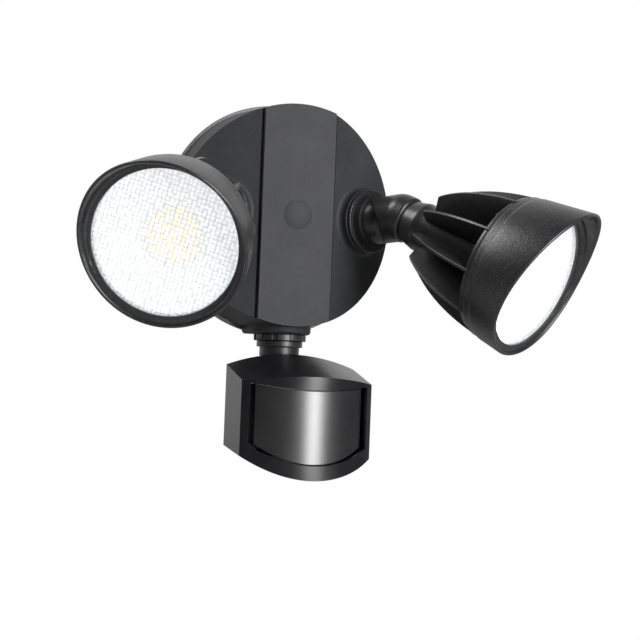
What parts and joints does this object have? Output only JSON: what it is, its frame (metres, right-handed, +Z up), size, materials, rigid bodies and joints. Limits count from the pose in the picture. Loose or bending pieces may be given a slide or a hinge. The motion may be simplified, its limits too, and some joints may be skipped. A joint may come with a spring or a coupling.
{
  "type": "motion sensor security light",
  "caption": "Wall-mounted outdoor light with a round canopy, swivelling finned lamp heads under deep visors and a tilting motion sensor below.",
  "frame": {"origin": "centre of the wall face, on the rear plane of the mounting bracket", "axes": "+Z up, -Y out of the wall towards the viewer, +X to the right seen from the front"},
  "size_m": [0.3446, 0.2104, 0.2556],
  "materials": {
    "canopy_paint": "satin textured powder coat",
    "lamp_paint": "fine textured powder coat",
    "head_cast": "black coated die casting",
    "plate_zinc": "zinc plated",
    "steel": "plated",
    "black_screw": "black zinc",
    "brass": "plain",
    "foam": "closed-cell foam",
    "seal": "matt",
    "glossy_plastic": "high gloss",
    "neck_plastic": "satin",
    "sensor_lens_plastic": "high gloss",
    "lamp_lens": "pebbled",
    "reflector_white": "white",
    "board_white": "white solder mask",
    "board_green": "green solder mask",
    "phosphor": "silicone over phosphor",
    "driver_case": "plain",
    "terminal": "plain",
    "green_screw": "green passivated"
  },
  "bodies": {
    "canopy": {"wall_gasket": "foam", "back_plate": "canopy_paint", "mounting_bracket": "plate_zinc", "ground_screw": "green_screw", "housing_shell": "canopy_paint", "centre_bolt": "steel", "bolt_plug": "seal", "led_driver": "driver_case", "driver_screws": "steel", "terminal_block": "terminal", "plate_screws": "steel", "left_socket_seal": "seal", "right_socket_seal": "seal", "sensor_seal": "seal"},
    "left_arm": {"left_arm_base": "lamp_paint", "left_arm_washer": "steel", "left_arm_nut": "steel"},
    "left_lamp": {"left_elbow": "lamp_paint", "left_swivel_bolt": "steel", "left_neck_screw": "black_screw", "left_heat_sink": "head_cast", "left_visor_bezel": "head_cast", "left_lens": "lamp_lens", "left_lens_gasket": "seal", "left_reflector": "reflector_white", "left_led_board": "board_white", "left_led_chips": "phosphor", "left_board_screws": "steel", "left_bezel_screws": "black_screw"},
    "right_arm": {"right_arm_base": "lamp_paint", "right_arm_washer": "steel", "right_arm_nut": "steel"},
    "right_lamp": {"right_elbow": "lamp_paint", "right_swivel_bolt": "steel", "right_neck_screw": "black_screw", "right_heat_sink": "head_cast", "right_visor_bezel": "head_cast", "right_lens": "lamp_lens", "right_lens_gasket": "seal", "right_reflector": "reflector_white", "right_led_board": "board_white", "right_led_chips": "phosphor", "right_board_screws": "steel", "right_bezel_screws": "black_screw"},
    "lock_ring": {"sensor_lock_ring": "neck_plastic"},
    "sensor_neck": {"sensor_stem": "neck_plastic", "sensor_stem_nut": "neck_plastic"},
    "sensor_head": {"sensor_pivot_pin": "steel", "sensor_rear_shell": "glossy_plastic", "sensor_front_frame": "glossy_plastic", "sensor_lens": "sensor_lens_plastic", "sensor_board": "board_green", "pir_element": "steel", "sensor_screws": "black_screw"},
    "range_dial": {"dial_range": "neck_plastic"},
    "time_dial": {"dial_time": "neck_plastic"}
  },
  "joints": [
    {"name": "left_pan", "type": "hinge", "parent": "canopy", "child": "left_arm", "pos_m": [-0.05185, -0.03822, 0], "axis": [0.4226, 0.9063, 0], "range_deg": [-60, 60]},
    {"name": "left_swivel", "type": "hinge", "parent": "left_arm", "child": "left_lamp", "pos_m": [-0.05819, -0.05181, 0], "axis": [0.8763, 0.3716, -0.3066], "range_deg": [-32, 46]},
    {"name": "right_pan", "type": "hinge", "parent": "canopy", "child": "right_arm", "pos_m": [0.05185, -0.03822, 0], "axis": [0.4226, -0.9063, 0], "range_deg": [-60, 60]},
    {"name": "right_swivel", "type": "hinge", "parent": "right_arm", "child": "right_lamp", "pos_m": [0.05819, -0.05181, 0], "axis": [0.8657, -0.3765, 0.3298], "range_deg": [-38, 44]},
    {"name": "sensor_pan", "type": "hinge", "parent": "canopy", "child": "sensor_neck", "pos_m": [0, -0.0258, -0.08], "axis": [0, 0, 1], "range_deg": [-50, 50]},
    {"name": "sensor_tilt", "type": "hinge", "parent": "sensor_neck", "child": "sensor_head", "pos_m": [0, -0.0258, -0.106], "axis": [1, 0, 0], "range_deg": [-20, 20]},
    {"name": "lock_ring_turn", "type": "hinge", "parent": "canopy", "child": "lock_ring", "pos_m": [0, -0.0258, -0.0824], "axis": [0, 0, 1], "range_deg": [0, 60]},
    {"name": "range_dial_turn", "type": "hinge", "parent": "sensor_head", "child": "range_dial", "pos_m": [-0.013, -0.065, -0.158], "axis": [0, 0, 1], "range_deg": [-135, 135]},
    {"name": "time_dial_turn", "type": "hinge", "parent": "sensor_head", "child": "time_dial", "pos_m": [0.013, -0.065, -0.158], "axis": [0, 0, 1], "range_deg": [-135, 135]}
  ]
}
